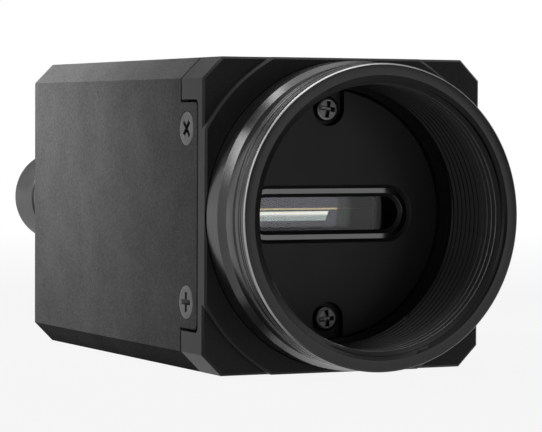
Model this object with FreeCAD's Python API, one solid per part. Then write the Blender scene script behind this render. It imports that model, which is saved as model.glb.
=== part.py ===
import FreeCAD, Part
import math
import os

from FreeCAD import Rotation, Vector

# Line-scan camera with a C-mount, in millimetres. The lens looks along -Y, +Z is up and
# the flat underside lies on z = 0. While a piece is built its depth is counted from the
# corner faces of the front frame; save() then centres the whole camera lengthwise.

# Fits shared by several pieces
slide_gap = 0.05
thread_gap = 0.05
drop_in_gap = 0.1

# Lens mount ring: 1 inch by 32 thread, given at its crests
thread_radius = 12.3
thread_length = 9.1
thread_relief_depth = 0.45
thread_relief_length = 1.0
lead_in_width = 0.8
lead_in_length = 0.6
ring_wall = 1.9
ring_rise = 7.5
ring_base_step = 0.35
ring_base_band = 2.4
ring_waist_depth = 0.3
ring_waist_length = 0.85
ring_waist_slope = 0.25
ring_rim_chamfer = 0.25
flange_focal_distance = 17.526

# Body outline
ring_inset = 0.4
extra_height = 0.4
body_length = 44.4
edge_chamfer = 2.0
boss_margin = 2.5
boss_rise = 0.6
face_chamfer = 0.2
end_chamfer = 0.3

# Joint between front frame and housing
housing_wall = 1.0
ear_depth = 5.0
tongue_reach = 3.8
tongue_width = 21.1
tongue_corner = 0.6
joint_gap = 0.28
web_thickness = 1.5

# Side screws, M2 with flush heads
side_screw_spread = 16.2
side_screw_setback = 2.6
side_screw_length = 4.2
flat_head_radius = 1.6
flat_head_thickness = 0.55
flat_screw_radius = 0.95

# Window plate and its screws
plate_play = 0.3
plate_recess = 0.7
plate_thickness = 2.2
plate_edge_chamfer = 0.2
plate_screw_inset = 1.95
plate_screw_pocket_width = 3.3
plate_screw_pocket_depth = 0.9
pan_head_radius = 1.18
pan_head_height = 0.75
pan_screw_radius = 0.7
pan_screw_length = 2.5

# Window slot: a bevelled aperture in the floor of a wider mouth; the glass is let in from behind
slot_length = 15.8
slot_height = 3.2
slot_bevel = 0.35
slot_mouth_step = 1.05
slot_mouth_depth = 0.4
slot_lip = 0.5
glass_land = 0.9
glass_thickness = 0.7

# Sensor
web_window_length = 18.4
web_window_height = 6.0
die_length = 15.6
die_height = 3.4
die_thickness = 0.6
package_length = 23.6
package_height = 9.0
package_base = 0.9
package_rim = 1.1
package_cavity_margin = 0.7
cover_glass_thickness = 0.5
cover_glass_inset = 0.6
seal_lip = 1.3

# Board stack
board_gap = 0.5
board_thickness = 1.2
board_corner = 1.5
post_inset = 2.2
standoff_flats = 3.4
front_bay = 6.0
middle_bay = 8.0
stack_connector_length = 15.0
stack_connector_height = 4.0
stack_connector_inset = 2.6
stack_clearance = 0.4
processor_size = 12.0
processor_thickness = 1.4
memory_length = 8.0
memory_height = 6.0
memory_thickness = 1.0
memory_spacing = 11.0
pad_thickness = 1.5
spreader_thickness = 1.0
spreader_height = 12.0
spreader_flange = 4.2
network_chip_size = 8.0
network_chip_thickness = 1.0
network_chip_shift = 4.5

# Rear cover
rear_cover_thickness = 2.0
rear_screw_length = 4.4
lock_hole_radius = 0.8
lock_hole_margin = 3.4

# Round input and output connector, six pins
io_side_margin = 0.65
io_lift = 0.5
io_shell_radius = 4.85
io_shell_rise = 8.0
io_wall = 1.15
io_cavity_depth = 6.0
io_neck_radius = 3.4
io_neck_wall = 0.8
io_neck_length = 6.0
io_key_width = 0.9
io_key_depth = 0.45
io_insert_thickness = 1.2
io_nut_wall = 0.9
io_nut_thickness = 1.8
io_pin_count = 6
io_pin_circle = 1.7
io_pin_flats = 0.65
io_pin_proud = 4.2
io_header_size = 6.4

# Network jack, turned on its side
jack_shift = 5.2
jack_thickness = 13.4
jack_width = 16.0
jack_proud = 1.6
jack_sheet = 0.3
jack_lip = 0.5
plug_width = 11.8
plug_thickness = 6.9
plug_depth = 12.5
plug_shift = 1.5
latch_width = 6.2
latch_step = 1.5
latch_key_width = 3.4
latch_key_step = 1.3
contact_count = 8
contact_pitch = 1.02
contact_width = 0.42
contact_thickness = 0.3
contact_setback = 3.6
contact_reach = 1.9
contact_rise = 5.2

# Status light
light_radius = 1.0
light_shift = 2.5
light_lift = 8.2
led_size = 1.6
led_height = 0.8

# Mounting holes in the front frame
mount_setback = 2.5
bottom_hole_radius = 1.25
bottom_hole_depth = 4.0
bottom_hole_spacing = 20.0

# Outline that follows from the mount
ring_radius = thread_radius + ring_wall
ring_base_radius = ring_radius + ring_base_step
body_width = 2 * (ring_radius + ring_inset)
body_height = body_width + extra_height
axis_z = body_height / 2
boss_radius = ring_radius + boss_margin
inner_width = body_width - 2 * housing_wall
inner_height = body_height - 2 * housing_wall
inner_chamfer = edge_chamfer - housing_wall * (2 - math.sqrt(2))
frame_width = inner_width - 2 * slide_gap
frame_height = inner_height - 2 * slide_gap

# Depths, counted from the corner faces
boss_face = -boss_rise
rim = boss_face - ring_rise
thread_start = rim + lead_in_length
thread_end = thread_start + thread_length
relief_end = thread_end + thread_relief_length
plate_front = relief_end + plate_recess
plate_back = plate_front + plate_thickness
glass_front = plate_front + slot_mouth_depth + slot_lip
plate_radius = thread_radius - plate_play
plate_pocket_radius = plate_radius + slide_gap
web_back = plate_back + web_thickness
tongue_front = ear_depth - tongue_reach
side_screw_depth = tongue_front + side_screw_setback
die_front = rim + flange_focal_distance
cavity_floor = die_front + die_thickness
sensor_board_front = cavity_floor + package_base
package_front = die_front - package_rim
cover_glass_front = package_front - cover_glass_thickness
sensor_board_back = sensor_board_front + board_thickness
processor_board_front = sensor_board_back + front_bay
processor_board_back = processor_board_front + board_thickness
interface_board_front = processor_board_back + middle_bay
interface_board_back = interface_board_front + board_thickness
rear_cover_front = body_length - rear_cover_thickness
io_end = body_length + io_shell_rise

# Board stack plan
board_width = inner_width - 2 * board_gap
board_height = inner_height - 2 * board_gap
post_x = board_width / 2 - post_inset
post_z = board_height / 2 - post_inset
corners = [(sx * post_x, axis_z + sz * post_z) for sx in (-1, 1) for sz in (-1, 1)]
stack_connector_low = axis_z - board_height / 2 + stack_connector_inset
processor_z = stack_connector_low + stack_connector_height + stack_clearance + spreader_height / 2
diagonal = [(side * post_x, axis_z - side * post_z) for side in (-1, 1)]

# Rear layout
io_x = io_shell_radius + io_side_margin - body_width / 2
io_z = axis_z + io_lift
light_x = io_x + light_shift
light_z = io_z + light_lift
lock_offset = jack_width / 2 + lock_hole_margin

forward = Vector(0, -1, 0)
rearward = Vector(0, 1, 0)


def box(x0, x1, y0, y1, z0, z1):
    return Part.makeBox(x1 - x0, y1 - y0, z1 - z0, Vector(x0, y0, z0))


def centred_box(width, height, start, end, x=0.0, z=axis_z):
    return box(x - width / 2, x + width / 2, start, end, z - height / 2, z + height / 2)


def rod(radius, start, end, x=0.0, z=axis_z):
    return Part.makeCylinder(radius, end - start, Vector(x, start, z), rearward)


def turned(profile, x=0.0, z=axis_z):
    """Solid of revolution about a line along Y; profile points are (radius, depth)."""
    points = [Vector(radius, depth, 0) for radius, depth in profile]
    face = Part.Face(Part.makePolygon(points + points[:1]))
    solid = face.revolve(Vector(0, 0, 0), rearward, 360)
    solid.translate(Vector(x, 0, z))
    return solid


def prism(outline, start, end):
    """Straight solid along Y over an outline of (x, z) points."""
    points = [Vector(x, start, z) for x, z in outline]
    face = Part.Face(Part.makePolygon(points + points[:1]))
    return face.extrude(Vector(0, end - start, 0))


def octagon(width, height, corner, start, end):
    half_w = width / 2
    half_h = height / 2
    quarter = [(half_w, half_h - corner), (half_w - corner, half_h)]
    outline = []
    for sx, sz in ((1, 1), (-1, 1), (-1, -1), (1, -1)):
        points = [(sx * x, axis_z + sz * z) for x, z in quarter]
        outline += points if sx * sz > 0 else points[::-1]
    return prism(outline, start, end)


def hexagon(flats, start, end, x, z):
    """Six-sided post along Y, given across its flats."""
    reach = flats / math.sqrt(3)
    turns = [k * math.pi / 3 for k in range(6)]
    return prism([(x + reach * math.cos(turn), z + reach * math.sin(turn)) for turn in turns], start, end)


def racetrack(length, height, start, end):
    """Slot-shaped solid along Y with semicircular ends, centred on the lens axis."""
    radius = height / 2
    reach = length / 2 - radius
    middle = centred_box(2 * reach, height, start, end)
    ends = [rod(radius, start, end, side * reach) for side in (-1, 1)]
    return middle.multiFuse(ends).removeSplitter()


def edges_at(shape, depth):
    """Edges that lie in the plane across the camera at a depth."""
    found = []
    for edge in shape.Edges:
        bounds = edge.BoundBox
        if abs(bounds.YMin - depth) < 1e-6 and abs(bounds.YMax - depth) < 1e-6:
            found.append(edge)
    return found


def turned_upright(profile):
    """Solid of revolution about Z; profile points are (radius, height)."""
    points = [Vector(radius, 0, height) for radius, height in profile]
    face = Part.Face(Part.makePolygon(points + points[:1]))
    return face.revolve(Vector(0, 0, 0), Vector(0, 0, 1), 360)


def flat_screw(length, gap=0.0):
    """Screw with its head face at height 0, grown by gap everywhere but under the head."""
    head = flat_head_radius + gap
    shank = flat_screw_radius + gap
    return turned_upright([(0, 0), (head, 0), (head, -flat_head_thickness), (shank, -flat_head_thickness),
                           (shank, -length - gap), (0, -length - gap)])


def flat_screw_hole(length):
    return flat_screw(length, thread_gap)


def pan_screw(length):
    """Round head standing on height 0."""
    return turned_upright([(0, pan_head_height), (pan_head_radius, pan_head_height), (pan_head_radius, 0),
                           (pan_screw_radius, 0), (pan_screw_radius, -length), (0, -length)])


def placed(shape, position, outward):
    """Moves a piece built upright so that its top faces outward at position."""
    moved = shape.copy()
    moved.Placement = FreeCAD.Placement(position, Rotation(Vector(0, 0, 1), outward))
    return moved


def side_screw_seats(side):
    """Head positions of the side screws on one side, -1 for left and 1 for right."""
    half = side_screw_spread / 2
    return [Vector(side * body_width / 2, side_screw_depth, axis_z + lift) for lift in (-half, half)]


def plate_screw_seats():
    seat = plate_front + plate_screw_pocket_depth
    offset = plate_radius - plate_screw_inset
    return [Vector(0, seat, axis_z + side * offset) for side in (-1, 1)]


def ring_outline():
    """Outer profile of the mount ring from the boss face to the rim."""
    waist = ring_radius - ring_waist_depth
    depth = boss_face - ring_base_band
    points = [(ring_base_radius, 0), (ring_base_radius, depth)]
    depth -= ring_waist_slope
    points.append((waist, depth))
    depth -= ring_waist_length
    points.append((waist, depth))
    depth -= ring_waist_slope
    points.append((ring_radius, depth))
    points.append((ring_radius, rim + ring_rim_chamfer))
    points.append((ring_radius - ring_rim_chamfer, rim))
    return points


def tongue(side, gap):
    """Forward tongue of the housing on one side, grown by gap at its free edges."""
    half = tongue_width / 2 + gap
    front_edge = tongue_front + joint_gap / 2 - gap
    outer = side * body_width / 2
    inner = side * inner_width / 2
    low, high = min(outer, inner), max(outer, inner)
    plate = box(low, high, front_edge, web_back, axis_z - half, axis_z + half)
    corners = [edge for edge in plate.Edges
               if abs(edge.BoundBox.YMax - front_edge) < 1e-6 and edge.BoundBox.XLength > housing_wall / 2]
    return plate.makeFillet(tongue_corner, corners)


def front_frame():
    block = octagon(body_width, body_height, edge_chamfer, 0, ear_depth - joint_gap / 2)
    block = block.makeChamfer(face_chamfer, edges_at(block, 0))
    boss = octagon(body_width, body_height, edge_chamfer, boss_face, ear_depth - joint_gap / 2)
    boss = boss.common(rod(boss_radius, boss_face, ear_depth))
    boss = boss.makeChamfer(face_chamfer, edges_at(boss, boss_face))
    spigot = octagon(frame_width, frame_height, inner_chamfer, face_chamfer, web_back)
    ring = turned([(0, rim), (0, 0)] + ring_outline())
    posts = [hexagon(standoff_flats, plate_back, sensor_board_front, x, z) for x, z in corners]
    frame = block.multiFuse([boss, spigot, ring] + posts)
    bore = [(0, rim), (thread_radius + lead_in_width, rim), (thread_radius, thread_start),
            (thread_radius, thread_end), (thread_radius + thread_relief_depth, thread_end),
            (thread_radius + thread_relief_depth, relief_end), (plate_pocket_radius, relief_end),
            (plate_pocket_radius, plate_back), (0, plate_back)]
    cuts = [turned(bore)]
    cuts.append(centred_box(web_window_length, web_window_height, plate_back, web_back))
    for side in (-1, 1):
        pocket = tongue(side, joint_gap)
        flank = centred_box(slide_gap, tongue_width + 2 * joint_gap, tongue_front - joint_gap / 2, web_back,
                            side * (inner_width - slide_gap) / 2)
        cuts += [pocket, flank]
        hole = flat_screw_hole(side_screw_length)
        cuts += [placed(hole, seat, Vector(side, 0, 0)) for seat in side_screw_seats(side)]
    for seat in plate_screw_seats():
        cuts.append(rod(pan_screw_radius + thread_gap, plate_back, web_back, seat.x, seat.z))
    for side in (-1, 1):
        cuts.append(Part.makeCylinder(bottom_hole_radius, bottom_hole_depth,
                                      Vector(side * bottom_hole_spacing / 2, mount_setback, 0)))
    return frame.removeSplitter().cut(cuts)


def housing():
    outer = octagon(body_width, body_height, edge_chamfer, ear_depth + joint_gap / 2, body_length)
    outer = outer.makeChamfer(end_chamfer, edges_at(outer, body_length))
    sleeve = outer.multiFuse([tongue(side, 0) for side in (-1, 1)])
    sleeve = sleeve.removeSplitter()
    cuts = [octagon(inner_width, inner_height, inner_chamfer, 0, body_length)]
    for side in (-1, 1):
        hole = flat_screw_hole(side_screw_length)
        cuts += [placed(hole, seat, Vector(side, 0, 0)) for seat in side_screw_seats(side)]
    return sleeve.cut(cuts)


def side_screws(side):
    screw = flat_screw(side_screw_length)
    return [placed(screw, seat, Vector(side, 0, 0)) for seat in side_screw_seats(side)]


def glass_length(extra=0.0):
    return slot_length + 2 * glass_land + 2 * extra


def glass_height(extra=0.0):
    return slot_height + 2 * glass_land + 2 * extra


def window_plate():
    plate = rod(plate_radius, plate_front, plate_back)
    plate = plate.makeChamfer(plate_edge_chamfer, edges_at(plate, plate_front))
    mouth_length = slot_length + 2 * slot_mouth_step
    mouth_height = slot_height + 2 * slot_mouth_step
    mouth_floor = plate_front + slot_mouth_depth
    bevel = racetrack(slot_length + 2 * slot_bevel, slot_height + 2 * slot_bevel, plate_front,
                      mouth_floor + slot_bevel)
    cuts = [racetrack(mouth_length, mouth_height, plate_front, mouth_floor),
            bevel.makeChamfer(slot_bevel, edges_at(bevel, mouth_floor + slot_bevel)),
            racetrack(slot_length, slot_height, plate_front, glass_front),
            racetrack(glass_length(slide_gap), glass_height(slide_gap), glass_front, plate_back)]
    for seat in plate_screw_seats():
        side = 1 if seat.z > axis_z else -1
        pocket = rod(plate_screw_pocket_width / 2, plate_front, seat.y, seat.x, seat.z)
        reach = centred_box(plate_screw_pocket_width, plate_screw_inset * 2, plate_front, seat.y,
                            seat.x, seat.z + side * plate_screw_inset)
        cuts += [pocket.fuse(reach), rod(pan_screw_radius + thread_gap, seat.y, plate_back, seat.x, seat.z)]
    return plate.cut(cuts)


def window_plate_screws():
    screw = pan_screw(pan_screw_length)
    return [placed(screw, seat, forward) for seat in plate_screw_seats()]


def window_glass():
    return racetrack(glass_length(), glass_height(), glass_front, glass_front + glass_thickness)


def dust_seal():
    outer = centred_box(web_window_length + 2 * seal_lip, web_window_height + 2 * seal_lip,
                        web_back, cover_glass_front)
    return outer.cut(centred_box(web_window_length, web_window_height, web_back, cover_glass_front))


def sensor_cover_glass():
    return centred_box(package_length - 2 * cover_glass_inset, package_height - 2 * cover_glass_inset,
                       cover_glass_front, package_front)


def sensor_package():
    body = centred_box(package_length, package_height, package_front, sensor_board_front)
    cavity = centred_box(die_length + 2 * package_cavity_margin, die_height + 2 * package_cavity_margin,
                         package_front, cavity_floor)
    return body.cut(cavity)


def sensor_die():
    return centred_box(die_length, die_height, die_front, cavity_floor)


def board(start):
    return octagon(board_width, board_height, board_corner, start, start + board_thickness)


def standoffs(start, end):
    """Two hexagonal standoffs on a diagonal of the boards, between two depths."""
    return [hexagon(standoff_flats, start, end, x, z) for x, z in diagonal]


def rear_standoffs():
    made = []
    for body, (x, z) in zip(standoffs(interface_board_back, rear_cover_front), diagonal):
        hole = placed(flat_screw_hole(rear_screw_length), Vector(x, body_length, z), rearward)
        made.append(body.cut(hole))
    return made


def stack_connector(start, end):
    return centred_box(stack_connector_length, stack_connector_height, start, end,
                       0, stack_connector_low + stack_connector_height / 2)


def processor_chip():
    return centred_box(processor_size, processor_size, processor_board_back,
                       processor_board_back + processor_thickness, 0, processor_z)


def memory_chips():
    return [centred_box(memory_length, memory_height, processor_board_front - memory_thickness,
                        processor_board_front, side * memory_spacing / 2) for side in (-1, 1)]


def thermal_pad():
    start = processor_board_back + processor_thickness
    return centred_box(processor_size, processor_size, start, start + pad_thickness, 0, processor_z)


def heat_spreader():
    start = processor_board_back + processor_thickness + pad_thickness
    plate = centred_box(inner_width, spreader_height, start, start + spreader_thickness, 0, processor_z)
    middle = centred_box(inner_width - 2 * spreader_thickness, spreader_height,
                         start + spreader_thickness, start + spreader_flange, 0, processor_z)
    flanges = centred_box(inner_width, spreader_height, start + spreader_thickness,
                          start + spreader_flange, 0, processor_z).cut(middle)
    return plate.fuse(flanges).removeSplitter()


def network_chip():
    return centred_box(network_chip_size, network_chip_size, interface_board_front - network_chip_thickness,
                       interface_board_front, network_chip_shift)


def rear_cover():
    cover = octagon(inner_width - 2 * slide_gap, inner_height - 2 * slide_gap, inner_chamfer,
                    rear_cover_front, body_length)
    cuts = [centred_box(jack_thickness + 2 * drop_in_gap, jack_width + 2 * drop_in_gap,
                        rear_cover_front, body_length, jack_shift),
            rod(io_neck_radius + slide_gap, rear_cover_front, body_length, io_x, io_z),
            rod(light_radius + slide_gap, rear_cover_front, body_length, light_x, light_z)]
    for side in (-1, 1):
        cuts.append(rod(lock_hole_radius, rear_cover_front, body_length, jack_shift,
                        axis_z + side * lock_offset))
    hole = flat_screw_hole(rear_screw_length)
    cuts += [placed(hole, Vector(x, body_length, z), rearward) for x, z in diagonal]
    return cover.cut(cuts)


def rear_cover_screws():
    screw = flat_screw(rear_screw_length)
    return [placed(screw, Vector(x, body_length, z), rearward) for x, z in diagonal]


def io_connector_shell():
    cavity = io_shell_radius - io_wall
    neck_bore = io_neck_radius - io_neck_wall
    neck_end = body_length - io_neck_length
    cavity_end = io_end - io_cavity_depth
    shell = turned([(neck_bore, neck_end), (io_neck_radius, neck_end), (io_neck_radius, body_length),
                    (io_shell_radius, body_length), (io_shell_radius, io_end - end_chamfer),
                    (io_shell_radius - end_chamfer, io_end), (cavity + end_chamfer, io_end),
                    (cavity, io_end - end_chamfer), (cavity, cavity_end), (neck_bore, cavity_end)],
                   io_x, io_z)
    key = centred_box(io_key_width, io_key_depth, cavity_end, io_end,
                      io_x, io_z + cavity + io_key_depth / 2 - slide_gap)
    return shell.cut(key)


def io_pin_places():
    turn = 2 * math.pi / io_pin_count
    turns = [turn * (k + 0.5) for k in range(io_pin_count)]
    return [(io_x + io_pin_circle * math.cos(a), io_z + io_pin_circle * math.sin(a)) for a in turns]


def io_connector_insert():
    cavity_end = io_end - io_cavity_depth
    disc_radius = io_shell_radius - io_wall - slide_gap
    stem_radius = io_neck_radius - io_neck_wall - slide_gap
    disc = rod(disc_radius, cavity_end, cavity_end + io_insert_thickness, io_x, io_z)
    stem = rod(stem_radius, body_length - io_neck_length, cavity_end, io_x, io_z)
    return disc.fuse(stem)


def io_connector_pins():
    """Contact pins as they stand on the front of the insert."""
    foot = io_end - io_cavity_depth + io_insert_thickness
    return [hexagon(io_pin_flats, foot, foot + io_pin_proud, x, z) for x, z in io_pin_places()]


def io_header():
    return centred_box(io_header_size, io_header_size, interface_board_back, body_length - io_neck_length,
                       io_x, io_z)


def io_connector_nut():
    start = rear_cover_front - io_nut_thickness
    nut = rod(io_neck_radius + io_nut_wall, start, rear_cover_front, io_x, io_z)
    return nut.cut(rod(io_neck_radius + thread_gap, start, rear_cover_front, io_x, io_z))


def jack_end():
    return body_length + jack_proud


def plug_x():
    return jack_shift + plug_shift


def network_jack_shell():
    outer = centred_box(jack_thickness, jack_width, interface_board_back, jack_end(), jack_shift)
    inner = centred_box(jack_thickness - 2 * jack_sheet, jack_width - 2 * jack_sheet,
                        interface_board_back, jack_end() - jack_sheet, jack_shift)
    frame = jack_sheet + jack_lip
    mouth = centred_box(jack_thickness - 2 * frame, jack_width - 2 * frame, jack_end() - jack_sheet,
                        jack_end(), jack_shift)
    return outer.cut([inner, mouth])


def plug_cavity(end):
    """Space for the plug, with its stepped latch notch towards -X."""
    start = end - plug_depth
    low = plug_x() - plug_thickness / 2
    space = centred_box(plug_thickness, plug_width, start, end, plug_x())
    step = centred_box(latch_step, latch_width, start, end, low - latch_step / 2)
    key = centred_box(latch_key_step, latch_key_width, start, end, low - latch_step - latch_key_step / 2)
    return space.multiFuse([step, key]).removeSplitter()


def network_jack_body():
    body_end = jack_end() - jack_sheet
    body = centred_box(jack_thickness - 2 * jack_sheet, jack_width - 2 * jack_sheet,
                       interface_board_back, body_end, jack_shift)
    return body.cut(plug_cavity(body_end))


def network_jack_contacts():
    """Springs that rise from the wall of the plug cavity and slant back towards its floor."""
    wall = plug_x() + plug_thickness / 2
    mouth = jack_end() - jack_sheet - contact_setback
    made = []
    for index in range(contact_count):
        z = axis_z + (index - (contact_count - 1) / 2) * contact_pitch
        outline = [(wall, mouth), (wall - contact_reach, mouth - contact_rise),
                   (wall - contact_reach, mouth - contact_rise - contact_thickness),
                   (wall, mouth - contact_thickness * (1 + contact_rise / contact_reach))]
        points = [Vector(x, y, z - contact_width / 2) for x, y in outline]
        face = Part.Face(Part.makePolygon(points + points[:1]))
        made.append(face.extrude(Vector(0, 0, contact_width)))
    return made


def status_light():
    return rod(light_radius, interface_board_back + led_height, body_length, light_x, light_z)


def status_led():
    return centred_box(led_size, led_size, interface_board_back, interface_board_back + led_height,
                       light_x, light_z)


def save(name, piece):
    """Writes one node, moved so that the camera is centred lengthwise on the origin."""
    solids = piece if isinstance(piece, list) else [piece]
    shape = Part.makeCompound(solids) if len(solids) > 1 else solids[0]
    middle = (rim + io_end) / 2
    shape.translate(Vector(0, -middle, 0))
    count = len(shape.Solids)
    print(f"{name}: {count} solid(s), {shape.Volume:.2f} mm3, valid {shape.isValid()}")
    shape.exportStep(f"parts/{name}.step")


os.makedirs("parts", exist_ok=True)
nodes = {
    "front_frame": front_frame(),
    "housing": housing(),
    "side_screws_left": side_screws(-1),
    "side_screws_right": side_screws(1),
    "window_plate": window_plate(),
    "window_plate_screws": window_plate_screws(),
    "window_glass": window_glass(),
    "dust_seal": dust_seal(),
    "sensor_cover_glass": sensor_cover_glass(),
    "sensor_package": sensor_package(),
    "sensor_die": sensor_die(),
    "sensor_board": board(sensor_board_front),
    "front_standoffs": standoffs(sensor_board_back, processor_board_front),
    "front_board_connector": stack_connector(sensor_board_back, processor_board_front),
    "processor_board": board(processor_board_front),
    "processor_chip": processor_chip(),
    "memory_chips": memory_chips(),
    "thermal_pad": thermal_pad(),
    "heat_spreader": heat_spreader(),
    "middle_standoffs": standoffs(processor_board_back, interface_board_front),
    "rear_board_connector": stack_connector(processor_board_back, interface_board_front),
    "interface_board": board(interface_board_front),
    "network_chip": network_chip(),
    "rear_standoffs": rear_standoffs(),
    "rear_cover": rear_cover(),
    "rear_cover_screws": rear_cover_screws(),
    "io_connector_shell": io_connector_shell(),
    "io_connector_insert": io_connector_insert(),
    "io_connector_pins": io_connector_pins(),
    "io_connector_nut": io_connector_nut(),
    "io_header": io_header(),
    "network_jack_shell": network_jack_shell(),
    "network_jack_body": network_jack_body(),
    "network_jack_contacts": network_jack_contacts(),
    "status_light": status_light(),
    "status_led": status_led(),
}
for node, piece in nodes.items():
    save(node, piece)
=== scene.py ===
import math

import bmesh
import bpy
import numpy as np
from mathutils import Matrix, Vector


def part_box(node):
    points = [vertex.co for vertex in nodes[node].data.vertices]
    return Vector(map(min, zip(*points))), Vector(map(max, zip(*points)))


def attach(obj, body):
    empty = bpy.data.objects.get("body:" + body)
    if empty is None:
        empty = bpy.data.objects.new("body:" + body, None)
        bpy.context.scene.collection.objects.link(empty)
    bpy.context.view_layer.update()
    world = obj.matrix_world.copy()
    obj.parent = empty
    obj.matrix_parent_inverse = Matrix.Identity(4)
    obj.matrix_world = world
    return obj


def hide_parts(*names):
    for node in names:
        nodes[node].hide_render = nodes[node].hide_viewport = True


# Line-scan camera with a C-mount. Lengths in the dictionaries are millimetres.

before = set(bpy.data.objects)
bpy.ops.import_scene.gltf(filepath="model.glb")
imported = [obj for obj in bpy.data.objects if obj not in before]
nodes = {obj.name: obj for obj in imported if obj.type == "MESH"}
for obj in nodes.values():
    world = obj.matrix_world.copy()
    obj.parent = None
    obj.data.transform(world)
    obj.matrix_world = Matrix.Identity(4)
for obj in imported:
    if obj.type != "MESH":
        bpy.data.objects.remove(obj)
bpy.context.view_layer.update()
mm = 0.001
merge = {"built": 2e-7, "sliver": 1e-7, "cad": 1e-6, "flatAngle": 1}  # three lengths in metres, and degrees


def nodeBox(name):
    low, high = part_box(name)
    return np.array(low) / mm, np.array(high) / mm


def gridFaces(rows, columns, closed=True):
    # a quad between each pair of neighbouring rows and columns; closed joins the last column to the first
    last = columns if closed else columns - 1
    down, across = np.meshgrid(np.arange(rows - 1), np.arange(last), indexing="ij")
    beside = (across + 1) % columns
    row = down * columns
    below = row + columns
    return np.stack([row + across, row + beside, below + beside, below + across], -1).reshape(-1, 4)


def addObject(name, data):
    thing = bpy.data.objects.new(name, data)
    bpy.context.scene.collection.objects.link(thing)
    return thing


def makePiece(name, grids, closed=True):
    # one object from several grids of points (rows, columns, 3): doubles merged, every face turned outwards
    points = []
    faces = []
    count = 0
    for grid in grids:
        rows, columns = grid.shape[:2]
        points.append(grid.reshape(-1, 3) * mm)
        faces.append(gridFaces(rows, columns, closed) + count)
        count += rows * columns
    mesh = bpy.data.meshes.new(name)
    mesh.from_pydata(np.concatenate(points).tolist(), [], np.concatenate(faces).tolist())
    work = bmesh.new()
    work.from_mesh(mesh)
    bmesh.ops.remove_doubles(work, verts=work.verts, dist=merge["built"])
    bmesh.ops.dissolve_degenerate(work, dist=merge["sliver"], edges=work.edges)
    bmesh.ops.recalc_face_normals(work, faces=work.faces)
    work.to_mesh(mesh)
    work.free()
    piece = showPiece(name, mesh)
    weighNormals(piece)
    return piece


def showPiece(name, mesh, sharpAngle=38):
    piece = addObject(name, mesh)
    mesh.shade_smooth()
    mesh.set_sharp_from_angle(angle=math.radians(sharpAngle))
    return piece


def weighNormals(piece):
    # large faces keep flat shading, and the narrow ones beside them carry the bend
    weighed = piece.modifiers.new("normals", "WEIGHTED_NORMAL")
    weighed.keep_sharp = True
    weighed.weight = 90


def bevelEdges(piece, width, angle=34, segments=2):
    bevel = piece.modifiers.new("edges", "BEVEL")
    bevel.width = width * mm
    bevel.segments = segments
    bevel.limit_method = "ANGLE"
    bevel.angle_limit = math.radians(angle)
    bevel.harden_normals = True


def cleanMesh(name, drop=None):
    # a CAD node's loose triangles merged into one skin, flat areas joined, without the faces that drop picks
    source = nodes[name].data
    points = np.zeros(len(source.vertices) * 3)
    source.vertices.foreach_get("co", points)
    corners = np.zeros(len(source.loops), dtype=int)
    source.loops.foreach_get("vertex_index", corners)
    mesh = bpy.data.meshes.new(name + ".clean")
    mesh.from_pydata(points.reshape(-1, 3).tolist(), [], corners.reshape(-1, 3).tolist())
    work = bmesh.new()
    work.from_mesh(mesh)
    bmesh.ops.remove_doubles(work, verts=work.verts, dist=merge["cad"])
    if drop:
        lost = [face for face in work.faces if drop(np.array([v.co for v in face.verts]) / mm)]
        bmesh.ops.delete(work, geom=lost, context="FACES")
        rims = [edge for edge in work.edges if edge.is_boundary]
        bmesh.ops.bridge_loops(work, edges=rims)
    flat = math.radians(merge["flatAngle"])
    bmesh.ops.dissolve_limit(work, angle_limit=flat, verts=work.verts, edges=work.edges)
    bmesh.ops.recalc_face_normals(work, faces=work.faces)
    work.to_mesh(mesh)
    work.free()
    return mesh


def cutAway(piece, cutter, sharpAngle=15):
    # the cutter's volume taken out of the piece for good
    cut = piece.modifiers.new("cut", "BOOLEAN")
    cut.operation = "DIFFERENCE"
    cut.solver = "EXACT"
    cut.object = cutter
    graph = bpy.context.evaluated_depsgraph_get()
    mesh = bpy.data.meshes.new_from_object(piece.evaluated_get(graph))
    piece.modifiers.remove(cut)
    piece.data = mesh
    bpy.data.objects.remove(cutter)
    mesh.shade_smooth()
    mesh.set_sharp_from_angle(angle=math.radians(sharpAngle))
    piece.modifiers.clear()
    weighNormals(piece)


def finishPiece(piece, material, slotName, *replaced):
    piece.data.materials.clear()
    piece.data.materials.append(material)
    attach(piece, "root")
    if replaced:
        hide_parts(*replaced)


def dress(material, *names):
    # a CAD node keeps its shape and gets a better material
    for name in names:
        node = nodes[name]
        node.data.materials.clear()
        node.data.materials.append(material)


def softCorners(points, radius, steps=4):
    # an open polyline whose inner corners become quadratic curves, each from a radius before the corner to a
    # radius after it: (1 - t)^2 * start + 2t(1 - t) * corner + t^2 * end
    points = np.array(points, float)
    corner = points[1:-1]
    before = points[:-2] - corner
    after = points[2:] - corner
    lengthBefore = np.linalg.norm(before, axis=1)[:, None]
    lengthAfter = np.linalg.norm(after, axis=1)[:, None]
    reach = np.minimum(radius, 0.45 * np.minimum(lengthBefore, lengthAfter))
    start = corner + before / lengthBefore * reach
    end = corner + after / lengthAfter * reach
    t = np.linspace(0, 1, steps)[None, :, None]
    curve = (1 - t) ** 2 * start[:, None] + 2 * t * (1 - t) * corner[:, None] + t ** 2 * end[:, None]
    return np.concatenate([points[:1], curve.reshape(-1, 2), points[-1:]])


def roundY(radius, y, angle, x, z):
    # points at a radius and angle from the line along Y through (x, z)
    return np.stack([x + radius * np.cos(angle), y + 0 * angle, z + radius * np.sin(angle)], -1)


def turned(profile, x, z, columns=96):
    # profile points (radius, y) carried round a line along Y through (x, z)
    angle = np.arange(columns) * 2 * np.pi / columns
    return roundY(profile[:, :1], profile[:, 1:], angle, x, z)


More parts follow.
